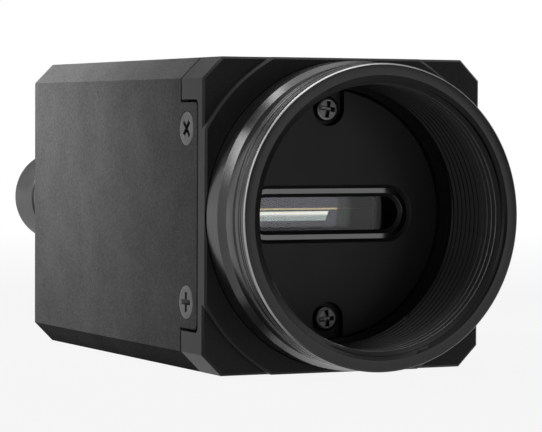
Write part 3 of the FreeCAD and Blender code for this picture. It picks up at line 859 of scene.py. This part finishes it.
windowPlate = makePiece("windowPlate", [plateSurface()])
for side, z in zip((-1, 1), plateScrewZ):
    cutAway(windowPlate, makePiece("pocketCutter", [pocketSurface(side, z)]))
finishPiece(windowPlate, plateFinish(plateLow[1] + plate["mouthDepth"]), "front_metal", "window_plate")

glass = {"edge": 0.05, "thinnest": 1e-6}


def glassSurface():
    # slot-shaped disc: front and back closed on the slot's own middle line, edges chamfered
    e = glass["edge"]
    front = glassLow[1]
    back = glassHigh[1]
    rows = [(glassHeight, front), (2 * e, front), (0.0, front + e), (0.0, back - e), (2 * e, back),
            (glassHeight, back)]
    loops = [(trackLoop(glassLength - k, max(glassHeight - k, glass["thinnest"])), y) for k, y in rows]
    return stackLoops(loops, z=axisZ)


windowGlass = makePiece("windowGlass", [glassSurface()])
finishPiece(windowGlass, finishes["windowGlass"], "window_glass", "window_glass")
print("window made")


rear = {"edge": 0.08}
rearCover = showPiece("rearCover", cleanMesh("rear_cover"))
bevelEdges(rearCover, rear["edge"])
finishPiece(rearCover, finishes["anodisedBlack"], "rear_metal", "rear_cover")

ioLow, ioHigh = nodeBox("io_connector_shell")
ioX = (ioLow[0] + ioHigh[0]) / 2
ioZ = (ioLow[2] + ioHigh[2]) / 2
io = {"wall": 1.15, "cavity": 6.0, "neck": 3.4, "neckBore": 2.6, "rise": 8.0, "edge": 0.3, "corner": 0.15,
      "groove": 5.9, "grooveHalf": 0.35, "grooveFlat": 0.2, "grooveDepth": 0.18, "keyHalf": 0.45,
      "keyDepth": 0.40, "keyFlank": 0.01, "columns": 96}


def shellSurface():
    # turned shell: neck, shoulder, barrel with a shallow groove, rounded mouth and cavity; the cavity's
    # radius is larger inside the key's width at the top
    r = (ioHigh[0] - ioLow[0]) / 2
    inner = r - io["wall"]
    start = ioLow[1]
    end = ioHigh[1]
    cover = end - io["rise"]
    floorY = end - io["cavity"]
    groove = end - io["groove"]
    low = r - io["grooveDepth"]
    e = io["edge"]
    outer = softCorners([(io["neckBore"], start), (io["neck"], start), (io["neck"], cover), (r, cover),
                         (r, groove - io["grooveHalf"]), (low, groove - io["grooveFlat"]),
                         (low, groove + io["grooveFlat"]), (r, groove + io["grooveHalf"]), (r, end - e),
                         (r - e, end), (inner + e, end)], io["corner"])
    wall = np.array([(inner, end - e), (inner, floorY), (io["neckBore"], floorY), (io["neckBore"], start)])
    profile = np.concatenate([outer, wall])
    spread = math.asin(io["keyHalf"] / inner)
    beyond = spread + io["keyFlank"]
    key = np.pi / 2 + np.array([-beyond, -spread, spread, beyond])
    even = np.arange(io["columns"]) * 2 * np.pi / io["columns"]
    angle = np.unique(np.round(np.concatenate([even, key]), 5))
    inKey = np.abs(angle - np.pi / 2) <= spread + 1e-4
    deep = np.zeros((len(profile), 1))
    deep[len(outer):len(outer) + 2] = io["keyDepth"]
    return roundY(profile[:, :1] + deep * inKey, profile[:, 1:], angle, ioX, ioZ)


connectorShell = makePiece("connectorShell", [shellSurface()])
finishPiece(connectorShell, finishes["connectorBlack"], "connector_metal", "io_connector_shell")

pinLow, pinHigh = nodeBox("io_connector_pins")
pins = {"count": 6, "circle": 1.7, "radius": 0.35, "dome": 0.3, "steps": 6, "columns": 24}


def domedRod(low, high, radius, x, z, style):
    # a round rod along Y from low to high, closed at its foot, its far end an elliptic dome
    bend = np.linspace(0, np.pi / 2, style["steps"])
    dome = np.stack([radius * np.cos(bend), high - style["dome"] + style["dome"] * np.sin(bend)], -1)
    return turned(np.concatenate([[(0, low), (radius, low)], dome]), x, z, style["columns"])


def pinSurface(turn):
    # a round pin with a domed tip, at its place on the circle of pins
    x = ioX + pins["circle"] * math.cos(turn)
    z = ioZ + pins["circle"] * math.sin(turn)
    return domedRod(pinLow[1], pinHigh[1], pins["radius"], x, z, pins)


pinGrids = [pinSurface(2 * math.pi / pins["count"] * (k + 0.5)) for k in range(pins["count"])]
connectorPins = makePiece("connectorPins", pinGrids)
finishPiece(connectorPins, finishes["contactGold"], "contact_gold", "io_connector_pins")

jack = {"shellEdge": 0.12, "bodyEdge": 0.08}
jackShell = showPiece("networkJackShell", cleanMesh("network_jack_shell"))
bevelEdges(jackShell, jack["shellEdge"], segments=3)
finishPiece(jackShell, finishes["connectorNickel"], "connector_metal", "network_jack_shell")
jackBody = showPiece("networkJackBody", cleanMesh("network_jack_body"))
bevelEdges(jackBody, jack["bodyEdge"])
finishPiece(jackBody, finishes["connectorPlastic"], "connector_plastic", "network_jack_body")

lightLow, lightHigh = nodeBox("status_light")
status = {"dome": 0.3, "steps": 8, "columns": 48}
middle = (lightLow + lightHigh) / 2
radius = (lightHigh[0] - lightLow[0]) / 2
lightPipe = domedRod(lightLow[1], lightHigh[1], radius, middle[0], middle[2], status)
statusLight = makePiece("statusLightPipe", [lightPipe])
finishPiece(statusLight, finishes["lightPlastic"], "light_plastic", "status_light")
print("rear made")


dress(dieFinish(axisZ), "sensor_die")
dress(finishes["sensorCoverGlass"], "sensor_cover_glass")
dress(finishes["sensorCeramic"], "sensor_package")
dress(finishes["sealRubber"], "dust_seal")
dress(boardFinish(), "sensor_board", "processor_board", "interface_board")
dress(finishes["chipPlastic"], "processor_chip", "memory_chips", "network_chip")
dress(finishes["padSilicone"], "thermal_pad")
dress(finishes["milledAluminium"], "heat_spreader")
dress(finishes["innerSteel"], "front_standoffs", "middle_standoffs", "rear_standoffs", "io_connector_nut")
dress(finishes["connectorPlastic"], "front_board_connector", "rear_board_connector", "io_connector_insert",
      "io_header")
dress(finishes["contactGold"], "network_jack_contacts")
dress(finishes["lightPlastic"], "status_led")
print("inner pieces dressed")


studio = {"worldLevel": 0.12, "floorHalf": 3000, "floorDrop": 0.05, "floorTone": 0.22, "floorNear": 0.90,
          "nearEnd": 100, "farStart": 300}


def seenDirectly(shading):
    # 1 for camera, glossy and transmission rays, so that the background shows white in metal and glass too
    camera = shading.add("LightPath", output="Is Camera Ray")
    glossy = shading.add("LightPath", output="Is Glossy Ray")
    through = shading.add("LightPath", output="Is Transmission Ray")
    return camera | glossy | through


def makeWorld():
    # white where it is seen directly, a low level of light on the object
    world = bpy.data.worlds.new("studio")
    bpy.context.scene.world = world
    world.use_nodes = True
    shading = Shading(world.node_tree)
    background = shading.tree.nodes["Background"]
    shading.plug(background.inputs["Color"], (1, 1, 1, 1))
    level = shading.add("MapRange", inputs={"Value": seenDirectly(shading), "To Min": studio["worldLevel"],
                                            "To Max": 1.0})
    shading.plug(background.inputs["Strength"], level)


def makeFloor():
    # pale where it is seen directly: floorNear of it glows near the object and all of it further away, and
    # the rest is a lit diffuse surface that keeps the object's shadow
    half = studio["floorHalf"] * mm
    low = -studio["floorDrop"] * mm
    mesh = bpy.data.meshes.new("floor")
    corners = ((-half, -half, low), (half, -half, low), (half, half, low), (-half, half, low))
    mesh.from_pydata(corners, [], [(0, 1, 2, 3)])
    floor = addObject("floor", mesh)
    material = bpy.data.materials.new("paleFloor")
    material.use_nodes = True
    shading = Shading(material.node_tree)
    shading.tree.nodes.remove(shading.tree.nodes["Principled BSDF"])
    lit = shading.add("BsdfDiffuse", inputs={"Color": (*grey(studio["floorTone"]), 1)})
    glow = shading.add("Emission")
    place = shading.add("TexCoord", output="Object")
    away = shading.add("VectorMath", {"operation": "LENGTH"}, {0: place}, output="Value")
    fade = shading.add("MapRange", inputs={"Value": away, "From Min": studio["nearEnd"] * mm,
                                           "From Max": studio["farStart"] * mm,
                                           "To Min": studio["floorNear"], "To Max": 1.0})
    both = shading.add("MixShader", inputs={0: seenDirectly(shading) * fade, 1: lit, 2: glow})
    shading.plug(shading.tree.nodes["Material Output"].inputs["Surface"], both)
    mesh.materials.append(material)


lamps = {
    "backTop": {"at": (-71, 126, 218), "to": (-8, -20, 22), "size": (100, 100), "radiance": 6.0},
    "top": {"at": (0, -60, 420), "to": (0, 0, 15), "size": (300, 300), "radiance": 2.0},
    "near": {"at": (-60, 50, 60), "to": (-14.6, 23, 31), "size": (40, 40), "radiance": 2.3, "spread": 48},
    "left": {"at": (-300, -143, 150), "to": (0, -20, 15), "size": (60, 320), "radiance": 2.4},
    "right": {"at": (330, -60, 180), "to": (0, 0, 15), "size": (160, 200), "radiance": 1.4},
    "card": {"at": (104, -242.15, 30), "to": (104, 0, 30), "size": (60, 60), "radiance": 1.5},
}


def makeLamps():
    # soft rectangular lamps; energy is radiance * pi * area
    for name, values in lamps.items():
        light = bpy.data.lights.new(name, "AREA")
        light.shape = "RECTANGLE"
        light.size = values["size"][0] * mm
        light.size_y = values["size"][1] * mm
        light.energy = values["radiance"] * math.pi * light.size * light.size_y
        light.spread = math.radians(values.get("spread", 180))
        lamp = addObject(name, light)
        at = Vector(values["at"]) * mm
        aim = Vector(values["to"]) * mm - at
        lamp.matrix_world = Matrix.Translation(at) @ aim.to_track_quat("-Z", "Y").to_matrix().to_4x4()
        lamp.visible_camera = False


view = {"at": (-113.294, -243.406, 23.476), "yaw": 25.5285, "pitch": -2.0256, "roll": 0.2409,
        "lens": 174.88, "sensor": 36, "nearest": 10}


def makeCamera():
    # looks along +Y at no angle; yaw turns it towards +X, pitch turns it up, and roll lifts its right side
    yaw = math.radians(view["yaw"])
    pitch = math.radians(view["pitch"])
    roll = math.radians(view["roll"])
    forward = Vector((math.sin(yaw) * math.cos(pitch), math.cos(yaw) * math.cos(pitch), math.sin(pitch)))
    right = Vector((math.cos(yaw), -math.sin(yaw), 0))
    up = right.cross(forward)
    across = right * math.cos(roll) + up * math.sin(roll)
    upright = up * math.cos(roll) - right * math.sin(roll)
    data = bpy.data.cameras.new("camera")
    data.lens = view["lens"]
    data.sensor_width = view["sensor"]
    data.clip_start = view["nearest"] * mm
    camera = addObject("camera", data)
    turn = Matrix((across, upright, -forward)).transposed().to_4x4()
    camera.matrix_world = Matrix.Translation(Vector(view["at"]) * mm) @ turn
    bpy.context.scene.camera = camera


flags = {
    "frontFlag": {"left": -220, "right": 300, "y": -250.0, "foot": 0, "top": 220},
    "rearFlag": {"left": -100, "right": 260, "y": 230.0, "foot": 30, "top": 190},
}


def makeFlag(name, values, black):
    # a black card, seen only in reflections and through glass, keeps dark faces deep black
    mesh = bpy.data.meshes.new(name)
    left, right, y = (values[key] * mm for key in ("left", "right", "y"))
    foot, top = (values[key] * mm for key in ("foot", "top"))
    corners = ((left, y, foot), (right, y, foot), (right, y, top), (left, y, top))
    mesh.from_pydata(corners, [], [(0, 1, 2, 3)])
    mesh.materials.append(black)
    card = addObject(name, mesh)
    card.visible_camera = False
    card.visible_diffuse = False
    card.visible_shadow = False


makeWorld()
makeFloor()
flagBlack = Finish("flagBlack", {"tone": grey(0.0), "roughness": 0.5, "specular": 0.0}).material
for name, values in flags.items():
    makeFlag(name, values, flagBlack)
makeLamps()
makeCamera()
bpy.context.scene.view_settings.view_transform = "Standard"
print("studio made")
